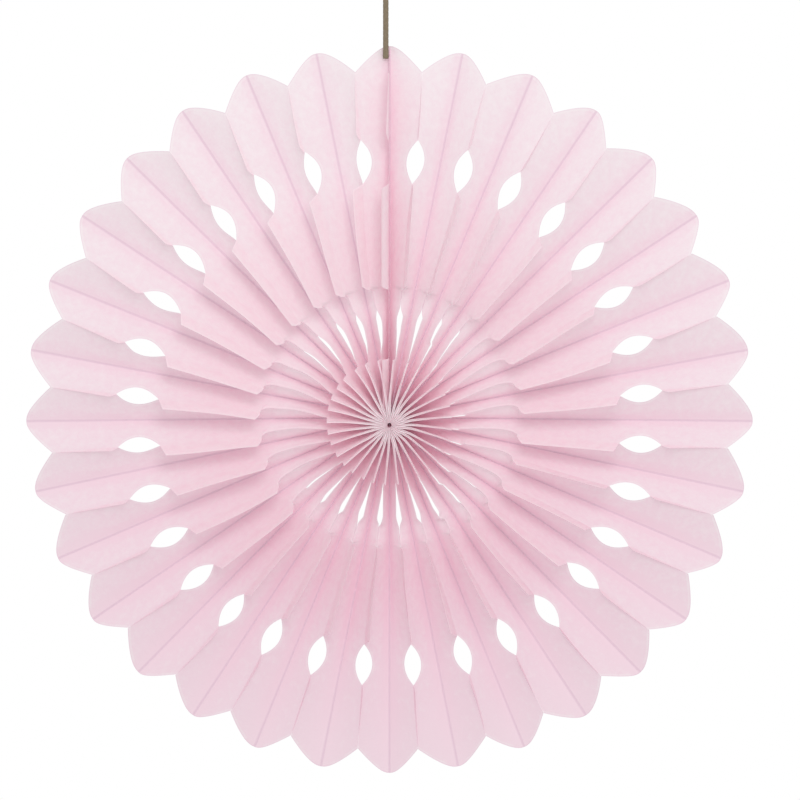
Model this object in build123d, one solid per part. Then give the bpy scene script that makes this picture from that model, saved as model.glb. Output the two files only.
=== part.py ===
"""Paper fan rosette: die-cut tissue leaves, each folded once, glued side by side in a ring and hung by a cord.

The rosette hangs upright. X is to the right, Z is up and the front faces -Y. The origin is the middle of the rim
circle, halfway through the depth. Sizes are in millimetres and angles in degrees.
"""
from build123d import *
from math import atan2, cos, degrees, hypot, radians, sin, sqrt, tan
import os

# The ring of petals
petals = 32
rim_radius = 203.2
notch_depth = 13.9
hub_radius = 2.5

# How the ring hangs: the hub sinks below the middle of the rim, more at the front than at the back
hub_sag_back = 4.4
hub_sag_front = 8.7

# One leaf: a panel each side of its fold, and a glued fin along each panel's front edge
paper = 0.1
fold_width = 0.4
seam_fold_width = 0.22
rim_ridge_depth = 4.9
fin_width = 8.0
outer_fin_width = 2.6

# The fins lean over to the left of upright: most beside the seam, then less and less round the ring
fin_lean_middle = 28.0
fin_lean_swing = 49.0
fin_lean_turn = 240.0
seam_lean = 7.0

# The die cut: petal end, outer fin, eye and inner hole, placed along the leaf by shares of the rim radius
tip_roundness = 0.35
petal_end_shares = (0.15, 0.4, 1.0)
outer_fin_share = 0.763
eye_end_share = 0.7456
eye_start_share = 0.63
eye_depth = 5.4
inner_hole_end_share = 0.374
inner_hole_start_share = 0.1575
inner_hole_depth = 5.7
fin_end_slant = 5.0
hole_chords = 4

# The hanging cord, its knot and its loop, whose points are (across, up from the knot)
cord_diameter = 3.1
cord_clearance = 0.02
cord_lap = 7.2
cord_depth = 3.2
cord_free_length = 32.8
knot_height = 9.0
knot_diameter = 9.6
knot_face_diameter = 7.4
loop_side = [(-1.9, 0.0), (-1.9, 7.0), (-7.0, 17.0), (-12.0, 29.0), (-12.5, 40.0), (-8.5, 48.5)]
loop_top = 52.0
bend_share = 0.45
cord_sides = 8
knot_sides = 12

# Values worked out from the sizes above
half_pitch = 180.0 / petals
blank_end = rim_radius * (1 + (1 - cos(radians(half_pitch))))
panel_width = hypot(blank_end * tan(radians(half_pitch)) - fold_width / 2, rim_ridge_depth)
leaf_depth = panel_width + fin_width
back_y = leaf_depth / 2
blank_margin = fin_width
cord_stand_off = (cord_diameter / 2 + paper + cord_clearance) / cos(radians(seam_lean))
cord_across = -(cord_stand_off + cord_depth * tan(radians(seam_lean)))
cord_end_height = rim_radius - cord_lap
knot_bottom = rim_radius + cord_free_length
notch_station = (rim_radius - notch_depth) * cos(radians(half_pitch))
hub_sag = (hub_sag_back + hub_sag_front) / 2
inner_hole_start = rim_radius * inner_hole_start_share
inner_hole_end = rim_radius * inner_hole_end_share
eye_start = rim_radius * eye_start_share
eye_end = rim_radius * eye_end_share
outer_fin_station = rim_radius * outer_fin_share
inner_hole_middle = (inner_hole_start + inner_hole_end) / 2
eye_middle = (eye_start + eye_end) / 2
stations = [hub_radius, inner_hole_middle, eye_middle, notch_station, blank_end]


def rim_point(angle):
    """The point of the rim circle that lies in a direction from the sunken hub."""
    across = hub_sag * cos(radians(angle))
    reach = hub_sag * sin(radians(angle)) + sqrt(rim_radius**2 - across**2)
    return reach * cos(radians(angle)), reach * sin(radians(angle)) - hub_sag


def hang(right, up, depth):
    """A point of the even ring, measured from its hub, moved to where it hangs."""
    share = hypot(right, up) / rim_radius
    hub_z = -hub_sag_back - (hub_sag_front - hub_sag_back) * depth / leaf_depth
    rim_x, rim_z = rim_point(degrees(atan2(up, right)))
    return Vector(rim_x * share, back_y - depth, hub_z * (1 - share) + rim_z * share)


def leaf_point(leaf_angle, along, across, depth):
    """A point of one leaf, given along its fold, across to the left of it and in front of it."""
    c = cos(radians(leaf_angle))
    s = sin(radians(leaf_angle))
    return hang(along * c - across * s, along * s + across * c, depth)


def ridge_depth(station):
    """Depth of the ridge in front of the fold: the panel keeps its width while the petals spread."""
    spread = station * tan(radians(half_pitch)) - fold_width / 2
    return sqrt(panel_width**2 - spread**2)


def lean_at(station, lean):
    """A fin's lean to the left of upright. It grows from the hub, where the fins are packed, to the inner hole."""
    return radians(lean) * min(1, (station - hub_radius) / (inner_hole_middle - hub_radius))


def fin_lean(angle):
    """Lean of the fin that lies at an angle of the ring, which is counted round from the seam."""
    round_the_ring = (angle - 90) % 360 / 360
    return fin_lean_middle + fin_lean_swing * cos(radians(fin_lean_turn * round_the_ring))


def open_side(leaf_angle, side, station, fold_across):
    """Outer line of a spread panel as (along, across, depth): fold corner, ridge and crest of the fin."""
    turn = radians(side * half_pitch)
    lean = lean_at(station, fin_lean(leaf_angle + side * half_pitch))
    ridge_across = station * tan(turn)
    depth = ridge_depth(station)
    crest_along = station - fin_width * sin(lean) * sin(turn)
    crest_across = ridge_across + fin_width * sin(lean) * cos(turn)
    crest_depth = depth + fin_width * cos(lean)
    return [(station, fold_across, 0), (station, ridge_across, depth), (crest_along, crest_across, crest_depth)]


def seam_side(station):
    """Outer line of an upright end panel, where the two end leaves are glued to each other."""
    lean = lean_at(station, seam_lean)
    return [(station, d * sin(lean), d * cos(lean)) for d in (0, panel_width, leaf_depth)]


def inner_line(outer):
    """The outer line moved one paper thickness to its inner side, with mitred corners."""
    normals = []
    for (_, x0, d0), (_, x1, d1) in zip(outer, outer[1:]):
        run = hypot(x1 - x0, d1 - d0)
        normals.append(((d0 - d1) / run, (x1 - x0) / run))
    inner = []
    for (along, x, d), (ax, ad), (bx, bd) in zip(outer, normals[:1] + normals, normals + normals[-1:]):
        mitre = paper / (1 + ax * bx + ad * bd)
        inner.append((along, x + (ax + bx) * mitre, d + (ad + bd) * mitre))
    return inner


def leaf_section(leaf_angle, station, end):
    """Outer and inner lines across one leaf. end is 0 for a whole petal, and 1 or -1 for the two end leaves."""
    if end == 0:
        right = open_side(leaf_angle, -1, station, -fold_width / 2)
        left = open_side(leaf_angle, 1, station, fold_width / 2)
    elif end == 1:
        right = seam_side(station)
        left = open_side(leaf_angle, 1, station, seam_fold_width)
    else:
        left = seam_side(station)
        right = open_side(leaf_angle, -1, station, -seam_fold_width)
    outer = right[::-1] + left
    return [[leaf_point(leaf_angle, *p) for p in line] for line in (outer, inner_line(outer))]


def triangles(near, far):
    """Two flat faces between two pairs of points, cut from the first of one pair to the last of the other."""
    corners = [(near[0], far[1], far[0]), (near[0], near[1], far[1])]
    return [Face(Wire.make_polygon(c)) for c in corners]


def folded_blank(leaf_angle, end):
    """The folded sheet of one leaf before the die cut, as flat facets between its stations."""
    sections = [leaf_section(leaf_angle, station, end) for station in stations]
    strips = range(len(sections[0][0]) - 1)
    faces = []
    for first, second in zip(sections, sections[1:]):
        for wall in (0, 1):
            for j in strips:
                near, far = (j + 1, j) if j < 3 else (j, j + 1)
                faces += triangles((first[wall][near], second[wall][near]), (first[wall][far], second[wall][far]))
        for edge in (0, -1):
            faces += triangles((first[0][edge], second[0][edge]), (first[1][edge], second[1][edge]))
    for outer, inner in (sections[0], sections[-1]):
        for j in strips:
            faces += triangles((outer[j], outer[j + 1]), (inner[j], inner[j + 1]))
    return Solid(Shell(faces))


def petal_end(share):
    """How far along the fold the petal's edge lies, at a share of the way from its tip to the notch."""
    rounded = (hypot(share, tip_roundness) - tip_roundness) / (hypot(1, tip_roundness) - tip_roundness)
    return (rim_radius - notch_depth * rounded) * cos(radians(half_pitch * share))


def die(leaf_angle, end):
    """The die that cuts the folded leaf from the side: petal end, outer fin, half eye and half inner hole."""
    direction = Vector(cos(radians(leaf_angle)), 0, sin(radians(leaf_angle)))
    across = Vector(sin(radians(leaf_angle)), 0, -cos(radians(leaf_angle)))
    hub = Vector(0, back_y, -hub_sag)
    top = leaf_depth + blank_margin

    def at(station, depth):
        point = leaf_point(leaf_angle, station, 0, depth)
        return (point - hub).dot(direction), depth

    def bite(outer, inner, depth):
        points = []
        for i in range(hole_chords + 1):
            share = i / hole_chords
            station = outer + (inner - outer) * share
            points.append(at(station, ridge_depth(station) - 4 * depth * share * (1 - share)))
        return points + [at(inner - fin_end_slant, top)]

    tip = at(rim_radius, 0)
    edge = [(petal_end(share), share) for share in petal_end_shares]
    outer_fin_rise = outer_fin_width * cos(radians(fin_lean(leaf_angle + end * half_pitch)))
    outline = Polyline(
        (-blank_margin, -blank_margin),
        (tip[0], -blank_margin),
        tip,
        *[at(station, share * ridge_depth(station)) for station, share in edge],
        at(outer_fin_station, ridge_depth(outer_fin_station) + outer_fin_rise),
        *bite(eye_end, eye_start, eye_depth),
        at(inner_hole_end + fin_end_slant, top),
        *bite(inner_hole_end, inner_hole_start, inner_hole_depth),
        (-blank_margin, top),
        close=True,
    )
    profile = Plane(hub, x_dir=direction, z_dir=across) * make_face(outline)
    return extrude(profile, amount=2 * panel_width, both=True)


def leaf(leaf_angle, end):
    """One die-cut leaf."""
    return folded_blank(leaf_angle, end) & die(leaf_angle, end)


def cord_section():
    """The cord's section, with the few sides that a plain cord needs."""
    return RegularPolygon(cord_diameter / 2, cord_sides)


def hanging_cord():
    """The straight cord, from its glued end beside the seam up to the knot."""
    foot = Plane((cord_across, back_y - cord_depth, cord_end_height))
    return extrude(foot * cord_section(), amount=knot_bottom - cord_end_height)


def cord_knot():
    """The knot, a barrel with a flat face below for the cord and one above for the loop."""
    rings = []
    widths = (knot_face_diameter, knot_diameter, knot_diameter, knot_face_diameter)
    for share, width in zip((0, 1 / 3, 2 / 3, 1), widths):
        centre = Pos(cord_across, back_y - cord_depth, knot_bottom + knot_height * share)
        rings.append(centre * RegularPolygon(width / 2, knot_sides))
    return loft(rings, ruled=True)


def hanging_loop():
    """The loop above the knot: straight runs joined by arcs as large as the runs allow."""
    right = [(-x, z) for x, z in loop_side[::-1]]
    route = [Vector(x, z) for x, z in loop_side + [(0, loop_top)] + right]
    radii = []
    for a, b, c in zip(route, route[1:], route[2:]):
        turn = radians((b - a).get_angle(c - b))
        radii.append(bend_share * min((b - a).length, (c - b).length) / tan(turn / 2))
    path = FilletPolyline(*route, radius=radii)
    section = Plane(path @ 0, z_dir=path % 0) * cord_section()
    tube = sweep(section, path)
    print("loop radii", [round(r, 1) for r in radii])
    print("loop length", round(path.length, 1), "volume share", tube.volume / (section.area * path.length))
    knot_top = (cord_across, back_y - cord_depth, knot_bottom + knot_height)
    return Plane(knot_top, x_dir=(1, 0, 0), z_dir=(0, -1, 0)) * tube


os.makedirs("parts", exist_ok=True)
leaves = [(90.0, 1)] + [(90.0 + 2 * half_pitch * i, 0) for i in range(1, petals)] + [(90.0, -1)]
for number, (angle, end) in enumerate(leaves, 1):
    export_step(leaf(angle, end), f"parts/leaf_{number:02d}.step")
export_step(hanging_cord(), "parts/hanging_cord.step")
export_step(cord_knot(), "parts/cord_knot.step")
export_step(hanging_loop(), "parts/hanging_loop.step")
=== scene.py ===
# %% [markdown]
# A paper fan rosette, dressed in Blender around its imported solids. The real one is a ring of die-cut
# tissue leaves. Each leaf is folded once and glued to its neighbours along narrow fins, and the ring
# hangs by a cord. The solids are flat-faceted. Here each leaf is made again as a smooth sheet of tissue, in
# the same place and on nearly the same sizes.

import bpy
import numpy as np
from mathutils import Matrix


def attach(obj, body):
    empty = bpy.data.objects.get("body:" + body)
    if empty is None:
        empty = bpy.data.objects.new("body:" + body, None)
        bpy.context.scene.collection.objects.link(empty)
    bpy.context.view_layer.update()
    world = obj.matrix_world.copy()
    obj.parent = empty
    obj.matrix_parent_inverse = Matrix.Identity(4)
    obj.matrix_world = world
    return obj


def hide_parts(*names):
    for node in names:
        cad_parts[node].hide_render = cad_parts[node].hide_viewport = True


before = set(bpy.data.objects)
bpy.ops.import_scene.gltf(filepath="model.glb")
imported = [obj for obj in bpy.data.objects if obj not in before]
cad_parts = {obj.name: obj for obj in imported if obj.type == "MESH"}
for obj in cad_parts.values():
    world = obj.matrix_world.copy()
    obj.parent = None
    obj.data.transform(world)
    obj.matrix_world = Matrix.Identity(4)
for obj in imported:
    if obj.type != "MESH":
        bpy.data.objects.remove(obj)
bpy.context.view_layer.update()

# %% [markdown]
# The sizes below drive the ring, in millimetres. The solids' sizes are stated again, and every shape is
# worked out from them.
# Two are tuned to the look instead: the leaves reach nearer to the hub's middle than the solids do, and the
# inner hole is shorter.
# MM turns them into Blender's metres at the end. A leaf's length is measured in stations along its fold,
# from the middle of the hub outwards.

# %% Sizes of the ring and of one leaf
MM = 0.001
PETALS = 32
RIM = 203.2
HUB = 1.2
SAG_BACK, SAG_FRONT = 4.4, 8.7
FOLD = 0.4
RIM_RIDGE_DEPTH = 4.9
FIN = 8.0
INNER_HOLE = (34.5, 71.5)
EYE_SHARES = (0.63, 0.7456)
EYE = (EYE_SHARES[0] * RIM, EYE_SHARES[1] * RIM)

half_pitch = np.radians(180.0 / PETALS)
blank_end = RIM * (2 - np.cos(half_pitch))
panel = np.hypot(blank_end * np.tan(half_pitch) - FOLD / 2, RIM_RIDGE_DEPTH)
leaf_depth = panel + FIN
back_y = leaf_depth / 2
hub_sag = (SAG_BACK + SAG_FRONT) / 2
print("panel width", round(panel, 2), "leaf depth", round(leaf_depth, 2))

# %% [markdown]
# A hanging fan isn't quite even: its hub sinks below the middle of the rim, and more at the front than at
# the back. A lattice could bend the finished ring. Moving each point with one mapping is simpler, and it
# keeps all leaves joined, because neighbours share the mapping.

# %% Where a point of the even ring hangs
def hang(right, up, depth):
    """Rim point in this direction from the sunken hub, times the share of the radius, plus the hub's sag
    times the rest."""
    share = np.hypot(right, up) / RIM
    angle = np.arctan2(up, right)
    reach = hub_sag * np.sin(angle) + np.sqrt(RIM**2 - (hub_sag * np.cos(angle)) ** 2)
    hub_z = -SAG_BACK - (SAG_FRONT - SAG_BACK) * depth / leaf_depth
    z = hub_z * (1 - share) + (reach * np.sin(angle) - hub_sag) * share
    return np.stack([reach * np.cos(angle) * share, back_y - depth, z], -1)


def on_leaf(angle, along, across, depth):
    """Turns (along the fold, across to its left) into (right, up) by the leaf's angle, then hangs the
    point."""
    right = along * np.cos(angle) - across * np.sin(angle)
    up = along * np.sin(angle) + across * np.cos(angle)
    return hang(right, up, depth)


print("tips left and right", hang(np.array([-RIM, RIM]), np.zeros(2), np.zeros(2))[:, 0].round(1))

# %% [markdown]
# A ridge is where two leaves are glued, so both read the same numbers for it: how far its fin leans, and
# the slow waves of handled tissue. Noise on each leaf would pull the glued fins apart. So the waves
# belong to the ridge, and they come from one seeded generator, so that every run gives the same fan. The
# fins lean a little less here than in the solids.

# %% Ridges that two leaves share
LEAN_MIDDLE, LEAN_SWING, LEAN_TURN = 24.0, 42.0, 240.0
LEAN_SPREAD, LEAN_WAVE, LEAN_WAVE_STATIONS, LEAN_GROWTH = 4, 5, 24, 3
HUB_TWIST, HUB_TWIST_SPREAD = 7.0, 4
HUB_TWIST_IN, HUB_TWIST_OUT = (2, 14), (60, 30)
SWAY_WIDE, SWAY_WIDE_STATIONS = 0.5, 31
SWAY_FINE, SWAY_FINE_STATIONS = 0.35, 13
SWAY_START, SWAY_GROWTH = 30, 60
rng = np.random.default_rng(7)
ridge_phase = rng.uniform(0, 2 * np.pi, (PETALS + 2, 4))
ridge_bias = rng.normal(0, 1, (PETALS + 2, 3))


def ease(value, start, stop):
    """Smooth step from 0 at start to 1 at stop: three times the square less twice the cube."""
    share = np.clip((value - start) / (stop - start), 0, 1)
    return share**2 * (3 - 2 * share)


def from_hub(station):
    """Share of the way from the leaf's inner end to the middle of the inner hole."""
    return np.clip((station - HUB) / (sum(INNER_HOLE) / 2 - HUB), 0, 1)


def fin_lean(ridge, station):
    """Lean swings as a cosine round the ring from the seam, with a slow sine along the fin, and grows as
    the cube of the way out from the hub. A small twist, which comes and goes near the hub, is added."""
    round_the_ring = (ridge - 0.5) / PETALS
    lean = LEAN_MIDDLE + LEAN_SWING * np.cos(np.radians(LEAN_TURN * round_the_ring))
    slow = np.sin(station / LEAN_WAVE_STATIONS + ridge_phase[ridge, 0])
    wave = LEAN_SPREAD * ridge_bias[ridge, 0] + LEAN_WAVE * slow
    twist = HUB_TWIST + HUB_TWIST_SPREAD * ridge_bias[ridge, 1]
    twist = twist * ease(station, *HUB_TWIST_IN) * ease(station, *HUB_TWIST_OUT)
    return np.radians((lean + wave) * from_hub(station) ** LEAN_GROWTH + twist)


def ridge_sway(ridge, station):
    """Sideways wave of a ridge in millimetres: two slow sines that fade out at the hub."""
    wide = SWAY_WIDE * np.sin(station / SWAY_WIDE_STATIONS + ridge_phase[ridge, 1])
    fine = SWAY_FINE * np.sin(station / SWAY_FINE_STATIONS + ridge_phase[ridge, 2])
    return (wide + fine) * np.clip((station - SWAY_START) / SWAY_GROWTH, 0, 1)


lean_at = np.mean(EYE + INNER_HOLE)
leans = [np.degrees(fin_lean(ridge, lean_at)).round() for ridge in (1, PETALS // 2, PETALS)]
print("lean of the first, middle and last ridge", leans)

# %% [markdown]
# The die cuts the leaf flat, before it is folded. Cutting a finished mesh with booleans would leave
# ragged triangles. So the grid is laid out on the flat sheet, in rows along the leaf and columns across
# it, and its edge is the die's own line. Rows are straight up to the eye's outer end, and from there they
# bend into the petal's round edge.

# %% Rows and columns of a panel
NOTCH_DEPTH = 13.9
TIP_ROUNDNESS = 0.35
HUB_ROWS, INNER_ROWS, MIDDLE_ROWS, EYE_ROWS, BENT_ROWS = 12, 32, 26, 20, 26
PANEL_COLUMNS = 14


def petal_edge(share):
    """Station at a share of the way from tip to notch: the rim less the notch depth times a rounded V,
    which is a hyperbola, times the cosine of the angle there."""
    a = TIP_ROUNDNESS
    rounded = (np.hypot(share, a) - a) / (np.hypot(1, a) - a)
    return (RIM - NOTCH_DEPTH * rounded) * np.cos(half_pitch * share)


def steps(start, stop, count):
    """Even steps that stop one short of the end."""
    return np.linspace(start, stop, count, endpoint=False)


first_inner = HUB_ROWS
last_inner = first_inner + INNER_ROWS
first_eye = last_inner + MIDDLE_ROWS
last_eye = first_eye + EYE_ROWS
inner_rows = INNER_HOLE[0] + (INNER_HOLE[1] - INNER_HOLE[0]) * np.sin(steps(0, np.pi / 2, INNER_ROWS))
middle_rows = steps(INNER_HOLE[1], EYE[0], MIDDLE_ROWS)
hub_rows, eye_rows = steps(HUB, INNER_HOLE[0], HUB_ROWS), steps(*EYE, EYE_ROWS)
straight_rows = np.concatenate([hub_rows, inner_rows, middle_rows, eye_rows])
column = np.linspace(0, 1, PANEL_COLUMNS)
bend = np.linspace(0, 1, BENT_ROWS)[:, None]
panel_rows = np.vstack([
    np.repeat(straight_rows[:, None], PANEL_COLUMNS, 1),
    EYE[1] + bend * (petal_edge(column)[None] - EYE[1]),
])
edge_rows = panel_rows[:, -1]
print("panel grid", panel_rows.shape)

# %% [markdown]
# Each long edge of a leaf has half of an eye-shaped hole and half of a longer inner hole. The next leaf
# has the other halves. The holes are bites out of the panel's width, so the columns are drawn together
# beside them. The inner hole's bite is deeper than in the solids, for its slots to show.

# %% Holes beside a panel
EYE_DEPTH = 5.4
INNER_HOLE_DEPTH = 7.0
HUMP_POWER, HUMP_TOP = 1.3, 0.345


def half_spread(station):
    """Half of a petal's spread less half of the fold's flat, and never less than nothing."""
    return np.maximum(station * np.tan(half_pitch) - FOLD / 2, 0)


def ridge_depth(station):
    """Height of a right triangle whose long side is the panel's width and whose base is half of the
    spread."""
    return np.sqrt(panel**2 - half_spread(station) ** 2)


def eye_edge(station):
    """Share of the panel's width left beside the eye: one less a parabola that is deepest in its
    middle."""
    share = np.clip((station - EYE[0]) / (EYE[1] - EYE[0]), 0, 1)
    return 1 - 4 * EYE_DEPTH * share * (1 - share) / ridge_depth(station)


def hole_share(station):
    """Share of the way along the inner hole."""
    return np.clip((station - INNER_HOLE[0]) / (INNER_HOLE[1] - INNER_HOLE[0]), 0, 1)


def inner_edge(station):
    """Share of the panel's width left beside the inner hole: one less a lopsided hump, which is a power
    of the share of the hole's length times the root of what remains, over the hump's own greatest height.
    It falls steeply at the outer end and gently at the inner."""
    share = hole_share(station)
    return 1 - INNER_HOLE_DEPTH / panel * share**HUMP_POWER * np.sqrt(1 - share) / HUMP_TOP


edge_share = inner_edge(edge_rows) + eye_edge(edge_rows) - 1
panel_share = edge_share[:, None] * column[None]
print("narrowest share of the panel", edge_share.min().round(2))

# %% [markdown]
# A fin is the part of the sheet beyond the ridge, glued to the next leaf's fin. The two holes break it
# into three strips. The outer strip is a low tab that starts at the eye and runs out at the notch. A
# fin's columns crowd towards the crest, where the two glued sheets part.

# %% Fin strips
FIN_COLUMNS = 8
FIN_CROWDING = 2.2
OUTER_FIN, OUTER_FIN_FOOT = 2.6, 0.3
OUTER_FIN_SHARE = 0.763
FIN_CORNER, FIN_CORNER_POWER, EYE_CORNER = 2.8, 1.6, 3.0
CORNER_REACH = 12
FIN_END_STEP = 0.01
fin_share = 1 - (1 - np.linspace(0, 1, FIN_COLUMNS)[1:]) ** FIN_CROWDING
fin_spans = [(0, first_inner + 1), (last_inner, first_eye + 1), (last_eye, len(edge_rows))]


def fin_reach(station):
    """Fin width by station: full inside the eye, then up to a low tab and straight down to nothing at the
    notch."""
    knots = [HUB, EYE[1] - FIN_END_STEP, EYE[1], OUTER_FIN_SHARE * RIM, edge_rows[-1]]
    return np.interp(station, knots, [FIN, FIN, OUTER_FIN_FOOT, OUTER_FIN, 0.0])


def fin_station(station, beyond):
    """The fin's ends beside the inner hole and the eye slant towards each other: a power of the height on
    the fin, faded along it over the corner's reach."""
    height = beyond / FIN
    past_hole = np.clip(1 - (station - INNER_HOLE[1]) / CORNER_REACH, 0, 1)
    near_hole = np.where(station < INNER_HOLE[1], 0, past_hole)
    before_eye = np.clip(1 - (EYE[0] - station) / CORNER_REACH, 0, 1)
    near_eye = np.where(station > EYE[0], 0, before_eye)
    return station + FIN_CORNER * near_hole * height**FIN_CORNER_POWER - EYE_CORNER * near_eye * height


print("fin strips", [b - a for a, b in fin_spans], "rows")

# %% [markdown]
# On an even ring every fin would stand upright. On the real fan the fins lie over, and then a leaf's
# panel and its fin come into one line on the side that the fin leans away from. So each ridge is moved by
# its lean.

# %% Where a leaning ridge lies
STRAIGHT_BY = np.radians(15)


def bent_ridge(ridge, station):
    """The panel in front and its fin lie nearly in one plane. So the ridge moves from the even ring's
    place towards a straight line from fold to crest, by the hyperbolic tangent of the lean. Gives the
    sideways and depth moves and the fin's lean."""
    spread, depth = half_spread(station), ridge_depth(station)
    lean = fin_lean(ridge, station)
    size = np.abs(lean)
    crest_across, crest_depth = spread + FIN * np.sin(size), depth + FIN * np.cos(size)
    line = np.arctan2(crest_across, crest_depth)
    part = panel / leaf_depth
    straight = np.tanh(size / STRAIGHT_BY)
    aside = np.sign(lean) * straight * (part * crest_across - spread)
    return aside, straight * (part * crest_depth - depth), np.sign(lean) * (size + straight * (line - size))


print("first ridge moves aside", bent_ridge(1, lean_at)[0].round(1), "mm")

# %% [markdown]
# Beside the inner hole nothing is glued, so the two cut edges part. Near the bottom of the fan they leave
# an open slot. Towards the sides the weight lays one leaf on the next, and the edge behind slips under
# the one in front. A cloth simulation could find this, but a share of the weight is quicker, and it is the
# same in every run.

# %% Cut edges beside the inner hole
FRONT_HELD, BEHIND_HELD, INNER_END_HELD = (0.4, 0.82), (0.78, 0.96), (0.25, 0)
PRESS, PRESS_POWER_LEFT, PRESS_POWER_RIGHT = 1.15, 2.4, 1.2
SLOT_MEETS, SLOT_CLOSES, SLOT_OPENS = (0.52, 0.77), (0.57, 0.77), (0, 0.15)
TUCK, TUCK_BEHIND, TUCK_FADES = 3.2, 0.6, (1, 0.9)


def hold(station, in_front):
    """Share of a ridge's move that a panel follows beside the inner hole: all of it at both ends, where
    the fins are glued, and none in between. The panel in front lets go further in than the one behind
    it."""
    hole = hole_share(station)
    outer_end = np.where(in_front, ease(hole, *FRONT_HELD), ease(hole, *BEHIND_HELD))
    return outer_end + ease(hole, *INNER_END_HELD)


def pressed(weight):
    """Share by which its weight presses a leaf on the next one: a power of the sideways share of the
    weight, and a higher power on the left, where the slots stay open further round."""
    power = np.where(weight < 0, PRESS_POWER_LEFT, PRESS_POWER_RIGHT)
    return np.clip(PRESS * np.abs(weight) ** power, 0, 1)


def meeting(hole, weight):
    """Where the weight doesn't press a leaf sideways, the leaf in front comes half of the way to the
    other."""
    return (1 - pressed(weight)) * ease(hole, *SLOT_MEETS)


def tuck(ridge, station, weight):
    """Move of the cut edge of the leaf behind, from its own place to one just behind the cut edge of the
    leaf in front: further down that leaf's plane, and a little off its back. It goes all the way near the
    hole's outer end, and elsewhere by the share that is pressed. Gives the move sideways and in depth."""
    spread, depth = half_spread(station), ridge_depth(station)
    aside, lower, lean = bent_ridge(ridge, station)
    hole, left = hole_share(station), inner_edge(station)
    move = np.abs(aside)
    front_held, behind_held = hold(station, True), hold(station, False)
    front_run, front_rise = spread + move * front_held, depth + lower * front_held
    back_run, back_rise = spread - move * behind_held, depth + lower * behind_held
    met = spread * (1 - left) * meeting(hole, weight)
    off = ease(hole, *TUCK_FADES) / np.hypot(front_run, front_rise)
    aim_x = -spread + front_run * left + met - (TUCK * front_run - TUCK_BEHIND * front_rise) * off
    aim_depth = front_rise * left - (TUCK * front_rise + TUCK_BEHIND * front_run) * off
    close = np.maximum(pressed(weight), ease(hole, *SLOT_CLOSES)) * ease(hole, *SLOT_OPENS)
    return np.sign(lean) * (aim_x - spread + back_run * left) * close, (aim_depth - back_rise * left) * close


print("pressed at the bottom and the right", pressed(np.array([0.0, 1.0])))

# %% [markdown]
# One open side of a leaf is a flat panel from fold to ridge and a fin beyond it. Paper can't stretch, so
# where the moved ridge comes nearer to the fold the panel bows. Only half of that bow is shown, and where
# the ridge moves away from the fold the panel is a little longer than its flat width. Two glued sheets
# part a little at the crest, and the panels have a low arch from handling.

# %% An open side of a leaf
GLUE_GAP = 0.05
SLACK_SHOWN, FRONT_SLACK = 0.5, 0.25
ARC_RISE = 3 / 8
LIP_START, LIP_POWER = 0.92, 1.5
CREST_PARTING, PARTING_STATIONS = (0.68, 0.36), (6, 26)
PARTING_LIMIT, PARTING_FADES = 0.96, (70, 40)
ARCH, ARCH_STATIONS, ARCH_START, ARCH_GROWTH = 0.35, 40, 24, 120


def crest_parting(station, beyond):
    """Distance of a crest from the glued face: a width by station, at most nearly half of the ring's
    pitch there, times a power of the share of the lip, and fading out along the fin."""
    lip = np.clip((beyond / FIN - LIP_START) / (1 - LIP_START), 0, 1) ** LIP_POWER
    widest = np.interp(station, PARTING_STATIONS, CREST_PARTING)
    limit = PARTING_LIMIT * station * np.tan(half_pitch)
    return np.minimum(widest, limit) * lip * ease(station, *PARTING_FADES)


def low_arch(ridge, station, share):
    """A half sine across the panel times a slow sine along it, growing outwards from the hub."""
    growth = np.clip((station - ARCH_START) / ARCH_GROWTH, 0, 1)
    return ARCH * np.sin(np.pi * share) * np.sin(station / ARCH_STATIONS + ridge_phase[ridge, 3]) * growth


def open_side(leaf_angle, side, ridge, station, share, beyond):
    """Straight from the fold's corner to the moved ridge by share of width, plus a bow whose rise is the
    root of three eighths of length times slack, as on a shallow arc. Beyond the ridge comes the fin's
    length, turned from upright by its lean, with its crest parted from the next leaf's. Beside the inner
    hole the panel behind is tucked away, by the square of the share of its width."""
    turn = side * half_pitch
    spread = half_spread(station)
    aside, lower, lean = bent_ridge(ridge, station)
    in_front = side * np.sign(lean) > 0
    held = hold(station, in_front)
    run, rise = side * spread + aside * held, ridge_depth(station) + lower * held
    length = np.hypot(run, rise)
    slack = np.maximum(panel - length, 0)
    bow = np.sqrt(ARC_RISE * length * slack) * SLACK_SHOWN * 4 * share * (1 - share)
    bow = np.where(in_front, FRONT_SLACK, 1) * bow * np.sign(lean)
    weight = np.cos(leaf_angle + turn)
    tuck_aside, tuck_depth = tuck(ridge, station, weight)
    met = np.sign(lean) * spread * (1 - inner_edge(station)) * meeting(hole_share(station), weight)
    tucked = (share / inner_edge(station)) ** 2
    tuck_aside = np.where(in_front, met, tuck_aside) * tucked
    tuck_depth = np.where(in_front, 0, tuck_depth) * tucked
    gap = -side * (GLUE_GAP * share + crest_parting(station, beyond))
    across = side * FOLD / 2 + run * share + ridge_sway(ridge, station) * share + tuck_aside
    across = across - bow * rise / length + gap * np.cos(lean) + beyond * np.sin(lean) * np.cos(turn)
    along = station - beyond * np.sin(lean) * np.sin(turn)
    depth = rise * share + low_arch(ridge, station, share) + bow * run / length + tuck_depth
    depth = depth - gap * np.sin(lean) + beyond * np.cos(lean)
    return on_leaf(leaf_angle, along, across, depth)


print("crest parts by", crest_parting(PARTING_STATIONS[1], FIN).round(2), "mm near the hub")

# %% [markdown]
# The ring is closed at the top. The two end leaves share the top petal, and each has one upright side
# that is glued to the other's. The upright pair is a little wall from the cord to the hub, and its crest
# curls to the left.

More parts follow.
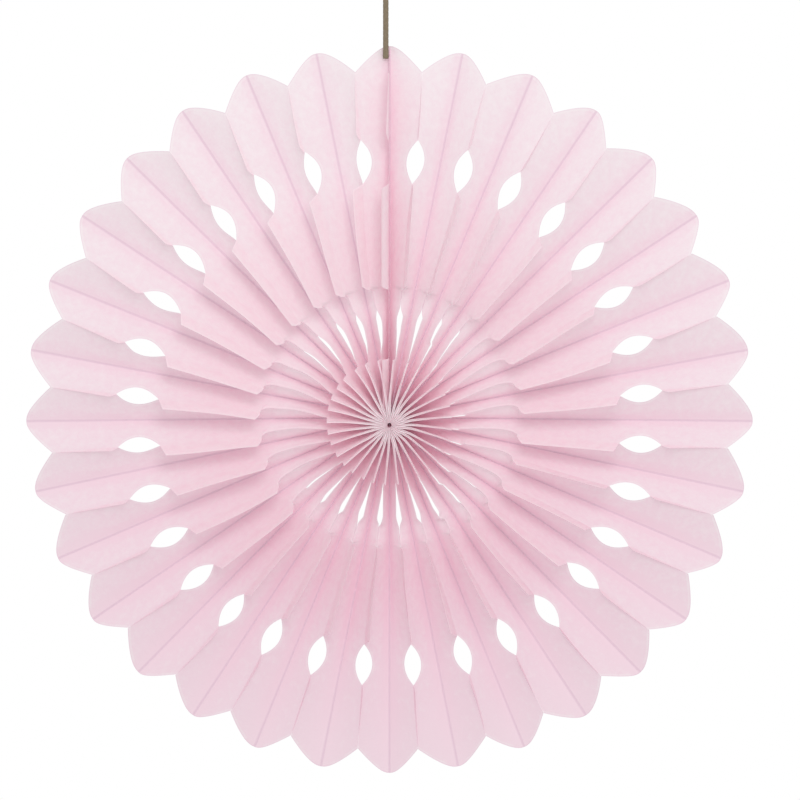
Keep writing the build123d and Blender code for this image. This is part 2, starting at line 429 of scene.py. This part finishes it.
# %% The upright side of an end leaf
SEAM_UPRIGHT, SEAM_CURL, CURL_START = 2.0, 3.3, 0.7


def seam_side(leaf_angle, side, station, share, beyond):
    """Panel and fin upright in one line from the fold, leaning left by an angle that grows from the hub,
    plus a curl that is a smooth step of the height, one glue gap from the seam's own line."""
    lean = np.radians(SEAM_UPRIGHT) * from_hub(station)
    upright = np.minimum(panel, ridge_depth(station) / ridge_depth(HUB) * panel)
    rise = np.where(beyond > 0, panel * share + beyond, upright * share)
    curl = SEAM_CURL * ease(rise / leaf_depth, CURL_START, 1)
    across = rise * np.sin(lean) + curl - side * GLUE_GAP
    return on_leaf(leaf_angle, station, across, rise * np.cos(lean))


print("seam's crest curls by", SEAM_CURL, "mm")

# %% [markdown]
# One leaf is one sheet: two panels that meet in the fold, and the fin strips on their far edges. Tissue
# is far thinner than a pixel, so the sheet is a single surface. A Solidify would double the faces, and
# light would have to pass two of them.

# %% One leaf as arrays
END_SIDES = {1: 1, PETALS + 1: -1}


def grid_quads(index):
    """Quads between neighbouring rows and columns of an index grid."""
    corners = [index[:-1, :-1], index[:-1, 1:], index[1:, 1:], index[1:, :-1]]
    return np.stack(corners, -1).reshape(-1, 4)


def place_side(number, side, station, share, beyond):
    """Points of one side of a leaf: on the seam for the sealed side of an end leaf, else on the ridge it
    shares."""
    end = END_SIDES.get(number, 0)
    angle = np.pi / 2 + (0 if end else 2 * half_pitch * (number - 1))
    if side == -end:
        return seam_side(angle, side, station, share, beyond)
    return open_side(angle, side, number if side > 0 else number - 1, station, share, beyond)


def leaf_mesh(number):
    """Both sides' panel grids side by side, then the fin strips, whose first column is the panel's last.
    Gives the points, the quads, and each point's place on the flat sheet."""
    points, quads, flat, fold_columns, total = [], [], [], [], 0
    for side in (-1, 1):
        points.append(place_side(number, side, panel_rows, panel_share, 0 * panel_rows).reshape(-1, 3))
        flat.append(np.stack([panel_rows, side * panel * panel_share], -1).reshape(-1, 2))
        index = total + np.arange(panel_rows.size).reshape(panel_rows.shape)
        fold_columns.append(index[:, 0])
        quads.append(grid_quads(index)[:, ::side])
        total += index.size
        for a, b in fin_spans:
            station = np.repeat(edge_rows[a:b, None], FIN_COLUMNS - 1, 1)
            beyond = fin_reach(edge_rows[a:b])[:, None] * fin_share[None]
            station = fin_station(station, beyond)
            points.append(place_side(number, side, station, np.ones_like(station), beyond).reshape(-1, 3))
            flat.append(np.stack([station, side * (panel + beyond)], -1).reshape(-1, 2))
            strip = total + np.arange(station.size).reshape(station.shape)
            total += station.size
            quads.append(grid_quads(np.hstack([index[a:b, -1:], strip]))[:, ::side])
    quads.append(grid_quads(np.stack(fold_columns, 1)))
    return np.vstack(points), np.vstack(quads), np.vstack(flat)


verts, faces, flat = leaf_mesh(2)
print("one leaf", len(verts), "points", len(faces), "quads")

# %% [markdown]
# from_pydata takes the whole arrays. The flat sheet's own coordinates go along as a UV map in decimetres,
# so that the tissue's grain follows the paper. The distances to the nearest cut edge and to the fold go
# along as attributes. A ridge is a hard crease, so its edges are marked sharp, and the shading doesn't
# run across it.

# %% Build the leaves
NO_EDGE = 99
CREST_OFFSET = 0.9
DECIMETRE = 0.01


def edge_distance(flat):
    """Distance in millimetres from a point of the flat sheet to the cut edge across it: the petal's edge,
    a hole or a fin's crest. The least of them counts. The crest has a small offset, which keeps the dark
    line of a cut edge off it."""
    station, width = flat[:, 0], np.abs(flat[:, 1])
    rim = petal_edge(np.clip(width / panel, 0, 1)) - station
    at_hole = (station > INNER_HOLE[0]) & (station < INNER_HOLE[1])
    at_eye = (station > EYE[0]) & (station < EYE[1])
    inner = np.where(at_hole, panel * inner_edge(station) - width, NO_EDGE)
    eye = np.where(at_eye, panel * eye_edge(station) - width, NO_EDGE)
    crest = np.where((width > panel) & (station < EYE[1]), panel + FIN - width + CREST_OFFSET, NO_EDGE)
    return np.clip(np.minimum.reduce([rim, inner, eye, crest]), 0, NO_EDGE)


def tissue_piece(name, node, verts, faces, flat):
    """A mesh from whole arrays with its flat coordinates, its distances to edge and fold, and its sharp
    ridges."""
    mesh = bpy.data.meshes.new(name)
    mesh.from_pydata((verts * MM).tolist(), [], faces.tolist())
    mesh.polygons.foreach_set("use_smooth", np.ones(len(faces), bool))
    corners = np.empty(len(mesh.loops), np.int32)
    mesh.loops.foreach_get("vertex_index", corners)
    uv = mesh.uv_layers.new(name="flat_sheet")
    uv.data.foreach_set("uv", (flat[corners] * DECIMETRE).astype(np.float32).ravel())
    edge = mesh.attributes.new("edge_mm", "FLOAT", "POINT")
    edge.data.foreach_set("value", edge_distance(flat).astype(np.float32))
    fold = mesh.attributes.new("fold_mm", "FLOAT", "POINT")
    fold.data.foreach_set("value", np.abs(flat[:, 1]).astype(np.float32))
    mesh.update()
    on_ridge = np.isclose(np.abs(flat[:, 1]), panel)
    ends = np.empty(2 * len(mesh.edges), np.int32)
    mesh.edges.foreach_get("vertices", ends)
    crisp = mesh.attributes.new("sharp_edge", "BOOLEAN", "EDGE")
    crisp.data.foreach_set("value", on_ridge[ends.reshape(-1, 2)].all(1))
    piece = bpy.data.objects.new(name, mesh)
    bpy.context.scene.collection.objects.link(piece)
    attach(piece, "root")
    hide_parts(node)
    return piece


def flat_area(faces, flat):
    """Sum over the quads of half the cross product of their diagonals, on the flat sheet."""
    one, two = flat[faces[:, 2]] - flat[faces[:, 0]], flat[faces[:, 3]] - flat[faces[:, 1]]
    return np.abs(one[:, 0] * two[:, 1] - one[:, 1] * two[:, 0]).sum() / 2


leaves = []
for number in range(1, PETALS + 2):
    verts, faces, flat = leaf_mesh(number)
    leaves.append(tissue_piece(f"tissue_{number:02d}", f"leaf_{number:02d}", verts, faces, flat))
print("flat leaf", round(2 * leaf_depth, 1), "x", round(RIM - HUB, 1), "mm,",
      "area", round(flat_area(faces, flat)), "mm2")
print(len(leaves), "leaves", sum(len(p.data.polygons) for p in leaves), "quads")

# %% [markdown]
# The cord is twisted fibre, glued beside the seam near the top tip. It stands off from the solids' leaning
# seam by its own radius, the paper and a clearance. It hangs straight, and a small loop continues it above
# the knot. Its route is a NURBS spline through the part's own route points. A curve's bevel would give a
# plain round cord, so the route is read back as points for a tube of strands.

# %% Routes of the cord and the loop
CORD = 3.1
CORD_DEPTH = 3.2
SEAM_LEAN = 7.0
PAPER, CORD_CLEARANCE = 0.1, 0.02
CORD_LAP, CORD_FREE, KNOT_HEIGHT = 7.2, 32.8, 9.0
SPLINE_STEPS, SPLINE_ORDER = 24, 3
CORD_FOOT, KNOT_FOOT = RIM - CORD_LAP, RIM + CORD_FREE
stand_off = (CORD / 2 + PAPER + CORD_CLEARANCE) / np.cos(np.radians(SEAM_LEAN))
cord_x = -(stand_off + CORD_DEPTH * np.tan(np.radians(SEAM_LEAN)))
cord_y = back_y - CORD_DEPTH
loop_side = [(-1.9, 0.0), (-1.9, 7.0), (-7.0, 17.0), (-12.0, 29.0), (-12.5, 40.0), (-8.5, 48.5)]
loop_route = loop_side + [(0.0, 52.0)] + [(-x, z) for x, z in loop_side[::-1]]
cord_points = [(cord_x, cord_y, z) for z in (CORD_FOOT, (CORD_FOOT + KNOT_FOOT) / 2, KNOT_FOOT)]
loop_points = [(cord_x + x, cord_y, KNOT_FOOT + KNOT_HEIGHT + z) for x, z in loop_route]


def spline_line(points):
    """The points of a NURBS spline with these control points, read back from a curve with no bevel."""
    curve = bpy.data.curves.new("route", "CURVE")
    curve.dimensions = "3D"
    curve.resolution_u = SPLINE_STEPS
    spline = curve.splines.new("NURBS")
    spline.points.add(len(points) - 1)
    spline.points.foreach_set("co", np.hstack([np.array(points) * MM, np.ones((len(points), 1))]).ravel())
    spline.order_u = SPLINE_ORDER
    spline.use_endpoint_u = True
    holder = bpy.data.objects.new("route", curve)
    mesh = bpy.data.meshes.new_from_object(holder)
    line = np.empty(len(mesh.vertices) * 3)
    mesh.vertices.foreach_get("co", line)
    bpy.data.objects.remove(holder)
    bpy.data.meshes.remove(mesh)
    return line.reshape(-1, 3)


cord_spline, loop_spline = spline_line(cord_points), spline_line(loop_points)
print("route points", len(cord_spline), len(loop_spline))

# %% [markdown]
# Three strands are laid together in the cord. The tube's section has three lobes that turn as the tube
# goes along, so the strands wind round it without three separate tubes.

# %% Cord and loop
STRANDS, STRAND_GROOVE, TWIST_PITCH = 3, 0.07, 9
TUBE_SIDES, RING_STEP, FEWEST_RINGS = 36, 0.35, 60


def round_piece(name, grid):
    """A closed piece from a grid of rings: quads between the rings, and a cap that faces outwards at each
    end."""
    rows, sides = grid.shape[:2]
    index = np.arange(rows * sides).reshape(rows, sides)
    quads = grid_quads(np.hstack([index, index[:, :1]]))
    caps = [index[0, ::-1].tolist(), index[-1].tolist()]
    mesh = bpy.data.meshes.new(name)
    mesh.from_pydata(grid.reshape(-1, 3).tolist(), [], quads.tolist() + caps)
    mesh.polygons.foreach_set("use_smooth", np.ones(len(mesh.polygons), bool))
    mesh.update()
    piece = bpy.data.objects.new(name, mesh)
    bpy.context.scene.collection.objects.link(piece)
    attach(piece, "root")
    return piece


def twisted_tube(name, line):
    """Radius is the cord's, less a share of a rounded wave of three lobes, whose angle turns by arc
    length over pitch. Gives the piece, its evenly spaced middle line and its length."""
    step = np.linalg.norm(np.diff(line, axis=0), axis=1)
    length = np.concatenate([[0], np.cumsum(step)])
    at = np.linspace(0, length[-1], max(FEWEST_RINGS, int(length[-1] / (RING_STEP * MM))))
    line = np.stack([np.interp(at, length, line[:, i]) for i in range(3)], 1)
    tangent = np.gradient(line, axis=0)
    tangent /= np.linalg.norm(tangent, axis=1)[:, None]
    side = np.array([0.0, 1.0, 0.0])
    other = np.cross(tangent, side)
    theta = np.linspace(0, 2 * np.pi, TUBE_SIDES, endpoint=False)
    lobes = np.abs(np.cos(STRANDS / 2 * (theta[None] - 2 * np.pi * at[:, None] / (TWIST_PITCH * MM))))
    radius = CORD / 2 * MM * (1 - STRAND_GROOVE * (1 - lobes) ** 2)
    ring = np.cos(theta)[None, :, None] * side + np.sin(theta)[None, :, None] * other[:, None]
    return round_piece(name, line[:, None] + radius[..., None] * ring), line, length[-1]


cord, cord_line, cord_length = twisted_tube("cord_strands", cord_spline)
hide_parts("hanging_cord")
loop, loop_line, loop_length = twisted_tube("loop_strands", loop_spline)
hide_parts("hanging_loop")
print("cord", round(cord_length, 4), "loop", round(loop_length, 4))

# %% [markdown]
# The knot is a bundle of the same fibre. A true knot would be a long tube that is tied in space. From
# outside only its wraps show, so it is a barrel whose surface is grooved between slanting turns.

# %% Knot
KNOT_END, KNOT_SWELL, KNOT_ROUNDNESS = 2.0, 2.75, 0.38
KNOT_GROOVE, KNOT_TURNS, GROOVE_SHARPNESS = 0.42, 3, 6
KNOT_ROWS, KNOT_SIDES = 48, 64


def knot_grid():
    """Barrel radius is its end plus a swell times a low power of a half sine, less grooves between turns:
    a high power of a cosine that slants round it. Rings crowd at the ends, as a cosine of the share."""
    t = np.linspace(0, 1, KNOT_ROWS)[:, None]
    theta = np.linspace(0, 2 * np.pi, KNOT_SIDES, endpoint=False)[None]
    barrel = KNOT_END + KNOT_SWELL * np.sin(np.pi * t) ** KNOT_ROUNDNESS
    slant = np.abs(np.cos(KNOT_TURNS * np.pi * t + theta)) ** GROOVE_SHARPNESS
    radius = barrel - KNOT_GROOVE * slant * np.sin(np.pi * t)
    z = KNOT_FOOT + KNOT_HEIGHT * (0.5 - 0.5 * np.cos(np.pi * t)) + 0 * theta
    return np.stack([cord_x + radius * np.cos(theta), cord_y + radius * np.sin(theta), z], -1)


knot = round_piece("knot_turns", knot_grid() * MM)
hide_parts("cord_knot")
print("knot", len(knot.data.polygons), "faces")

# %% [markdown]
# A material is a tree of nodes. These helpers make a node and link or fill its sockets in one call, so
# that a finish below reads from top to bottom like a recipe.

# %% Node helpers
def new_material(name):
    """A material with an empty node tree; gives both."""
    material = bpy.data.materials.new(name)
    material.use_nodes = True
    material.node_tree.nodes.clear()
    return material, material.node_tree


def feed(tree, slot, value):
    """Links a socket into the slot, or sets a plain value on it."""
    if isinstance(value, bpy.types.NodeSocket):
        tree.links.new(value, slot)
    else:
        slot.default_value = value


def add(tree, kind, sockets=None, **settings):
    """A node of this kind with its settings, and each named or numbered socket linked or filled in."""
    node = tree.nodes.new(kind)
    for key, value in settings.items():
        setattr(node, key, value)
    for key, value in (sockets or {}).items():
        feed(tree, node.inputs[key], value)
    return node


def map_range(tree, value, span, result, shape="LINEAR"):
    """The value's span mapped onto the result's, in a straight line or as a smooth step, and held at its
    ends."""
    sockets = {"Value": value, "From Min": span[0], "From Max": span[1]}
    sockets |= {"To Min": result[0], "To Max": result[1]}
    return add(tree, "ShaderNodeMapRange", sockets, interpolation_type=shape).outputs["Result"]


def math_node(tree, operation, *values, clamp=False):
    """A Math node's result on these sockets or numbers, in order."""
    node = add(tree, "ShaderNodeMath", dict(enumerate(values)), operation=operation, use_clamp=clamp)
    return node.outputs["Value"]


def color_mix(tree, share, first, second):
    """The first colour times one less the share, plus the second times the share."""
    node = add(tree, "ShaderNodeMix", data_type="RGBA")
    feed(tree, [s for s in node.inputs if s.type == "VALUE"][0], share)
    for slot, color in zip([s for s in node.inputs if s.type == "RGBA"], (first, second)):
        feed(tree, slot, color)
    return [s for s in node.outputs if s.type == "RGBA"][0]


print("node helpers ready")

# %% [markdown]
# Tissue is cloudy: its fibres lie in soft clumps, and it creases finely. A scanned picture could show
# this, but noise has no seams and no edges. The group gives a cloud mask and a height for the bump, both
# on the flat sheet's own coordinates.

# %% Cloud group
FIBRE_HEIGHT = 0.12
clouds = bpy.data.node_groups.new("tissue_clouds", "ShaderNodeTree")
clouds.interface.new_socket("Vector", in_out="INPUT", socket_type="NodeSocketVector")
clouds.interface.new_socket("Cloud", in_out="OUTPUT", socket_type="NodeSocketFloat")
clouds.interface.new_socket("Height", in_out="OUTPUT", socket_type="NodeSocketFloat")
spot = add(clouds, "NodeGroupInput").outputs["Vector"]
clump_look = {"Vector": spot, "Scale": 22.0, "Detail": 5.0, "Roughness": 0.65}
crease_look = {"Vector": spot, "Scale": 5.0, "Detail": 3.0, "Roughness": 0.55, "Distortion": 0.4}
fibre_look = {"Vector": spot, "Scale": 70.0, "Detail": 3.0, "Roughness": 0.6}
clump = add(clouds, "ShaderNodeTexNoise", clump_look).outputs["Fac"]
crease = add(clouds, "ShaderNodeTexNoise", crease_look).outputs["Fac"]
fibre = add(clouds, "ShaderNodeTexNoise", fibre_look).outputs["Fac"]
height = math_node(clouds, "MULTIPLY_ADD", fibre, FIBRE_HEIGHT, crease)
add(clouds, "NodeGroupOutput", {"Cloud": clump, "Height": height})
print("group", clouds.name, "with", len(clouds.nodes), "nodes")

# %% [markdown]
# The tissue is one pale pink with paler clouds of its own. Painted light and shade are laid over it: paler
# towards the top and the hub, a paler band beside a cut edge for light through the single ply, and pinker
# near a fold for its shade. Each of these is a share, and their sum picks a colour between pink and pale.
# Last come thin darker lines: painted shade along the folds, and lines along the cut edges.

# %% Tissue colour
PINK = (0.968, 0.77, 0.847, 1)
PALE = (0.988, 0.885, 0.918, 1)
# Colour of the painted shade along the folds, and of the darker lines along the cut edges.
FOLD_SHADE_AND_EDGE_LINE = (0.84, 0.63, 0.735, 1)
# The first share weights the tissue's own clouds, the second the painted light beside a cut edge.
CLOUD_SHARE, CUT_BAND_SHARE = 1.7, 0.4
# Painted light from above: paler towards the top, pinker towards the bottom.
HEIGHT_SPAN, HEIGHT_SHARES = (-0.2, 0.2), (-0.85, 0.1)
# Painted light in the tight folds: paler towards the hub, pinker further out.
OUTWARD_SPAN, OUTWARD_SHARES = (0.3, 1.6), (0.35, -0.15)
# Painted shade: pinker in a broad band beside the fold.
FOLD_SPAN, FOLD_SHARES = (0.0, 9.0), (-0.45, 0.05)
# Painted light through the single ply: a paler band beside a cut edge.
CUT_BAND, CUT_BAND_SHARES = (1.4, 2.2), (1.0, 0.0)
CUT_LINE, CUT_LINE_SHARES = (0.15, 0.75), (0.5, 0.0)
# Painted shade: a thin darker line along the fold.
FOLD_LINE, FOLD_LINE_SHARES = (0.0, 0.95), (0.75, 0.0)
tissue, tree = new_material("pink_tissue")
on_sheet = add(tree, "ShaderNodeUVMap", uv_map="flat_sheet").outputs["UV"]
in_space = add(tree, "ShaderNodeTexCoord").outputs["Object"]
look = add(tree, "ShaderNodeGroup", {"Vector": on_sheet}, node_tree=clouds)
to_edge = add(tree, "ShaderNodeAttribute", attribute_name="edge_mm").outputs["Fac"]
to_fold = add(tree, "ShaderNodeAttribute", attribute_name="fold_mm").outputs["Fac"]
up = add(tree, "ShaderNodeSeparateXYZ", {"Vector": in_space}).outputs["Z"]
outward = add(tree, "ShaderNodeSeparateXYZ", {"Vector": on_sheet}).outputs["X"]
# Shares of painted light and shade: by height, by station from the hub, and beside the fold.
painted_light_by_height = map_range(tree, up, HEIGHT_SPAN, HEIGHT_SHARES)
painted_light_near_hub = map_range(tree, outward, OUTWARD_SPAN, OUTWARD_SHARES)
painted_fold_shade = map_range(tree, to_fold, FOLD_SPAN, FOLD_SHARES, "SMOOTHSTEP")
# Painted light: the paler band beside a cut edge.
painted_light_by_edge = map_range(tree, to_edge, CUT_BAND, CUT_BAND_SHARES, "SMOOTHSTEP")
# The painted light and shade, summed, with the tissue's clouds added next.
painted_light_and_shade = math_node(tree, "ADD", math_node(tree, "ADD", painted_light_by_height, painted_light_near_hub), painted_fold_shade)
clouds_and_painted_light = math_node(tree, "MULTIPLY_ADD", look.outputs["Cloud"], CLOUD_SHARE, painted_light_and_shade)
paleness = math_node(tree, "MULTIPLY_ADD", painted_light_by_edge, CUT_BAND_SHARE, clouds_and_painted_light, clamp=True)
cut_line = map_range(tree, to_edge, CUT_LINE, CUT_LINE_SHARES, "SMOOTHSTEP")
# Painted shade along the fold, as a thin darker line.
painted_fold_shade_line = map_range(tree, to_fold, FOLD_LINE, FOLD_LINE_SHARES, "SMOOTHSTEP")
lines = math_node(tree, "MAXIMUM", painted_fold_shade_line, cut_line)
tissue_color = color_mix(tree, lines, color_mix(tree, paleness, PINK, PALE), FOLD_SHADE_AND_EDGE_LINE)
print("tissue colour from", len(tree.nodes), "nodes")

# %% [markdown]
# Tissue lets light through, so its shader is a mix of a matt surface and a translucent one. Subsurface
# light needs a closed body, and this sheet has no inside.

# %% Tissue shader
LIGHT_THROUGH = 0.2
tissue_bump = {"Height": look.outputs["Height"], "Strength": 0.2, "Distance": 0.002}
relief = add(tree, "ShaderNodeBump", tissue_bump).outputs["Normal"]
matt = {"Base Color": tissue_color, "Normal": relief, "Roughness": 0.85, "Specular IOR Level": 0.15}
surface = add(tree, "ShaderNodeBsdfPrincipled", matt).outputs["BSDF"]
through = add(tree, "ShaderNodeBsdfTranslucent", {"Color": tissue_color, "Normal": relief}).outputs["BSDF"]
paper = add(tree, "ShaderNodeMixShader", {0: LIGHT_THROUGH, 1: surface, 2: through}).outputs["Shader"]
add(tree, "ShaderNodeOutputMaterial", {"Surface": paper})
for piece in leaves:
    piece.data.materials.append(tissue)
print("tissue on", len(leaves), "leaves")

# %% [markdown]
# The cord is dull brown fibre with fine lighter flecks. One noise on Object coordinates gives the flecks
# and a slight roughness, and the strands themselves are in the shape.

# %% Cord material
DARK_FIBRE, LIGHT_FIBRE = (0.16, 0.12, 0.075, 1), (0.33, 0.27, 0.19, 1)
fibre_brown, tree = new_material("brown_fibre")
on_cord = add(tree, "ShaderNodeTexCoord").outputs["Object"]
fleck_look = {"Vector": on_cord, "Scale": 900.0, "Detail": 4.0, "Roughness": 0.65}
fleck = add(tree, "ShaderNodeTexNoise", fleck_look).outputs["Fac"]
fibre_color = color_mix(tree, fleck, DARK_FIBRE, LIGHT_FIBRE)
fibre_bump = {"Height": fleck, "Strength": 0.4, "Distance": 0.0004}
relief = add(tree, "ShaderNodeBump", fibre_bump).outputs["Normal"]
dull = {"Base Color": fibre_color, "Normal": relief, "Roughness": 0.9, "Specular IOR Level": 0.2}
yarn = add(tree, "ShaderNodeBsdfPrincipled", dull).outputs["BSDF"]
add(tree, "ShaderNodeOutputMaterial", {"Surface": yarn})
cord_pieces = (cord, loop, knot)
for piece in cord_pieces:
    piece.data.materials.append(fibre_brown)
print("fibre on", len(cord_pieces), "pieces")

# %% [markdown]
# The fan hangs in a plain studio. A pale floor lies well below it, so that it isn't in the picture from
# the front.

# %% Floor
FLOOR_REACH, FLOOR_Z = 5.0, -0.75
FLOOR_GREY = (0.86, 0.86, 0.86, 1)
floor_signs = ((-1, -1), (1, -1), (1, 1), (-1, 1))
floor_corners = [(x * FLOOR_REACH, y * FLOOR_REACH, FLOOR_Z) for x, y in floor_signs]
floor_mesh = bpy.data.meshes.new("floor")
floor_mesh.from_pydata(floor_corners, [], [(0, 1, 2, 3)])
floor = bpy.data.objects.new("floor", floor_mesh)
bpy.context.scene.collection.objects.link(floor)
pale, tree = new_material("pale_floor")
flat_white = add(tree, "ShaderNodeBsdfPrincipled", {"Base Color": FLOOR_GREY, "Roughness": 0.9})
add(tree, "ShaderNodeOutputMaterial", {"Surface": flat_white.outputs["BSDF"]})
floor_mesh.materials.append(pale)
print("floor", 2 * FLOOR_REACH, "m wide")

# %% [markdown]
# Tissue is lit best by a soft white surround, which reaches both of its faces. The camera sees the
# surround as plain white, and the fan is lit by a slightly dimmer one. One soft lamp in front, above and
# a little to the right, draws out the folds.

# %% Surround and lamp
SURROUND, SEEN_WHITE = 0.772, 1.0
WHITE = (1, 1, 1, 1)
LAMP_PLACE, LAMP_AIM, LAMP_SIZE, LAMP_POWER = (0.12, -1.15, 0.5), (0, 0, 0), 0.55, 3.9
world = bpy.data.worlds.new("studio")
bpy.context.scene.world = world
world.use_nodes = True
tree = world.node_tree
tree.nodes.clear()
from_camera = add(tree, "ShaderNodeLightPath").outputs["Is Camera Ray"]
soft = add(tree, "ShaderNodeBackground", {"Color": WHITE, "Strength": SURROUND}).outputs["Background"]
seen = add(tree, "ShaderNodeBackground", {"Color": WHITE, "Strength": SEEN_WHITE}).outputs["Background"]
surround = add(tree, "ShaderNodeMixShader", {0: from_camera, 1: soft, 2: seen}).outputs["Shader"]
add(tree, "ShaderNodeOutputWorld", {"Surface": surround})


def soft_lamp(name, place, aim, size, power):
    """An area lamp at a place, tipped from straight down by the slope to its aim and turned towards
    it."""
    lamp = bpy.data.lights.new(name, "AREA")
    lamp.size = size
    lamp.energy = power
    holder = bpy.data.objects.new(name, lamp)
    bpy.context.scene.collection.objects.link(holder)
    holder.location = place
    away = np.array(place) - np.array(aim)
    level_length = np.hypot(away[0], away[1])
    holder.rotation_euler = (np.arctan2(level_length, away[2]), 0, np.arctan2(away[0], -away[1]))


soft_lamp("key", LAMP_PLACE, LAMP_AIM, LAMP_SIZE, LAMP_POWER)
print("lamp of", LAMP_POWER, "W and surround set")

# %% [markdown]
# The camera looks straight along +Y, as in the photograph, from far enough away to be nearly flat. An
# orthographic camera would hide the little depth that the fins show. Light bounces many times between
# pale folds, so more bounces are allowed than usual.

# %% Camera
VIEW_WIDTH = 447.4
CENTRE_X, CENTRE_Z = 5.87, 5.31
DISTANCE = 2600.0
SENSOR = 36.0
ALL_BOUNCES, DIFFUSE_BOUNCES, THROUGH_BOUNCES = 24, 16, 24
lens = bpy.data.cameras.new("camera")
lens.sensor_width = SENSOR
lens.lens = SENSOR * (DISTANCE + back_y) / VIEW_WIDTH
camera = bpy.data.objects.new("camera", lens)
bpy.context.scene.collection.objects.link(camera)
camera.location = (CENTRE_X * MM, -DISTANCE * MM, CENTRE_Z * MM)
camera.rotation_euler = (np.pi / 2, 0, 0)
bpy.context.scene.camera = camera
bpy.context.scene.view_settings.view_transform = "Standard"
bpy.context.scene.cycles.max_bounces = ALL_BOUNCES
bpy.context.scene.cycles.diffuse_bounces = DIFFUSE_BOUNCES
bpy.context.scene.cycles.transmission_bounces = THROUGH_BOUNCES
print("lens", round(lens.lens, 1))
